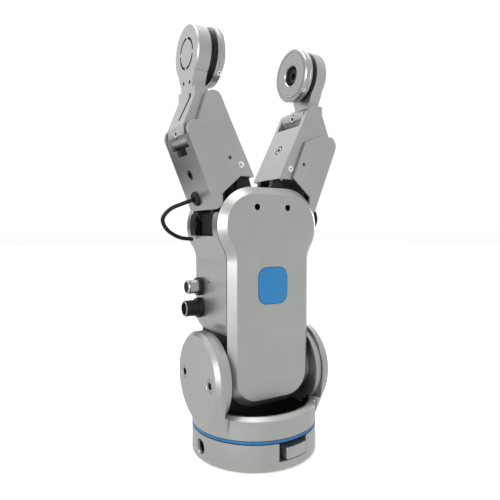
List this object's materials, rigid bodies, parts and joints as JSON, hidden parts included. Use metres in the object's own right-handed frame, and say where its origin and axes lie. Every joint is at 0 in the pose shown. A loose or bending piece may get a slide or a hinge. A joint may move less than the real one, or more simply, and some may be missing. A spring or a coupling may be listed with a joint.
{
  "type": "two-finger parallel gripper",
  "caption": "Electric parallel gripper with four-bar arms and round pad fingertips, on a tilting bracket and round quick changer.",
  "frame": {"origin": "centre of the flat face that bolts to the robot's flange", "axes": "+Z from the robot flange to the fingertips at zero tilt, fingers open along X, the bevelled front cover faces -Y"},
  "size_m": [0.0934, 0.0635, 0.205],
  "materials": {
    "anodised": "bead-blasted clear anodise",
    "anodised_dark": "bead-blasted anodise in shade",
    "machined": "fine turned",
    "steel": "bright pins",
    "screw_steel": "zinc screws",
    "chrome": "plated connector barrels",
    "bronze": "machined bronze",
    "rubber": "matte black",
    "black_plastic": "satin black",
    "blue_plastic": "satin blue",
    "blue_print": "satin blue",
    "motor_case": "dark satin",
    "circuit_board": "green solder mask"
  },
  "bodies": {
    "changer": {"changer_base": "anodised", "contact_block": "black_plastic", "seal_ring": "blue_plastic", "bracket": "anodised", "contact_plate": "black_plastic", "release_spring": "steel", "ear_hub_left": "anodised_dark", "ear_screw_left_front": "screw_steel", "ear_screw_left_back": "screw_steel", "ear_hub_right": "anodised_dark", "ear_screw_right_front": "screw_steel", "ear_screw_right_back": "screw_steel"},
    "release_button": {"release_button": "anodised"},
    "gripper_body": {"front_cover": "anodised", "badge": "blue_print", "frame": "anodised", "back_cover": "anodised", "motor": "motor_case", "gearbox": "steel", "worm_bearing": "steel", "control_board": "circuit_board", "connector_upper": "chrome", "connector_lower": "chrome", "cover_screw_1": "screw_steel", "cover_screw_2": "screw_steel", "cover_screw_3": "screw_steel", "inner_axle_left": "steel", "outer_axle_left": "steel", "bumper_left": "rubber", "sensor_cable_left": "rubber", "inner_axle_right": "steel", "outer_axle_right": "steel", "bumper_right": "rubber", "sensor_cable_right": "rubber"},
    "worm": {"worm": "steel"},
    "inner_arm_left": {"inner_link_left": "anodised", "worm_wheel_left": "bronze"},
    "outer_arm_left": {"outer_link_left": "anodised", "grommet_left": "rubber"},
    "fingertip_left": {"finger_left": "anodised", "sensor_ring_left": "black_plastic", "pad_left": "machined", "pad_screw_left": "screw_steel", "inner_pin_left": "steel", "outer_pin_left": "steel", "inner_clamp_left": "screw_steel", "outer_clamp_left": "screw_steel"},
    "inner_arm_right": {"inner_link_right": "anodised", "worm_wheel_right": "bronze"},
    "outer_arm_right": {"outer_link_right": "anodised", "grommet_right": "rubber"},
    "fingertip_right": {"finger_right": "anodised", "sensor_ring_right": "black_plastic", "pad_right": "machined", "pad_screw_right": "screw_steel", "inner_pin_right": "steel", "outer_pin_right": "steel", "inner_clamp_right": "screw_steel", "outer_clamp_right": "screw_steel"}
  },
  "joints": [
    {"name": "tilt", "type": "hinge", "parent": "changer", "child": "gripper_body", "pos_m": [0, 0, 0.0391], "axis": [1, 0, 0], "range_deg": [-65, 65]},
    {"name": "release_press", "type": "slide", "parent": "changer", "child": "release_button", "axis": [-0.0985, 0.9951, 0], "range_m": [0, 0.0022], "stiffness_N_per_m": 2000, "springref_m": -0.001, "deforming": ["release_spring"]},
    {"name": "worm_spin", "type": "hinge", "parent": "gripper_body", "child": "worm", "pos_m": [0, 0, 0.12], "axis": [0, 0, 1], "range_deg": [-510, 800]},
    {"name": "inner_swing_left", "type": "hinge", "parent": "gripper_body", "child": "inner_arm_left", "pos_m": [-0.0087, 0, 0.1209], "axis": [0, -1, 0], "range_deg": [-24.9, 39.5]},
    {"name": "outer_swing_left", "type": "hinge", "parent": "gripper_body", "child": "outer_arm_left", "pos_m": [-0.0176, 0, 0.10606], "axis": [0, -1, 0], "range_deg": [-25, 39.6], "deforming": ["sensor_cable_left"]},
    {"name": "fingertip_level_left", "type": "hinge", "parent": "outer_arm_left", "child": "fingertip_left", "pos_m": [-0.0375, 0, 0.1541], "axis": [0, 1, 0], "range_deg": [-25, 39.6]},
    {"name": "inner_swing_right", "type": "hinge", "parent": "gripper_body", "child": "inner_arm_right", "pos_m": [0.0087, 0, 0.1209], "axis": [0, 1, 0], "range_deg": [-24.9, 39.5]},
    {"name": "outer_swing_right", "type": "hinge", "parent": "gripper_body", "child": "outer_arm_right", "pos_m": [0.0176, 0, 0.10606], "axis": [0, 1, 0], "range_deg": [-25, 39.6], "deforming": ["sensor_cable_right"]},
    {"name": "fingertip_level_right", "type": "hinge", "parent": "outer_arm_right", "child": "fingertip_right", "pos_m": [0.0375, 0, 0.1541], "axis": [0, -1, 0], "range_deg": [-25, 39.6]}
  ],
  "couplings": [
    {"joint": "inner_swing_left", "follows": "inner_swing_right", "ratio": 1},
    {"joint": "worm_spin", "follows": "inner_swing_right", "ratio": 20},
    {"joint": "outer_swing_left", "follows": "inner_swing_right", "ratio": 1},
    {"joint": "fingertip_level_left", "follows": "inner_swing_right", "ratio": 1},
    {"joint": "outer_swing_right", "follows": "inner_swing_right", "ratio": 1},
    {"joint": "fingertip_level_right", "follows": "inner_swing_right", "ratio": 1}
  ]
}
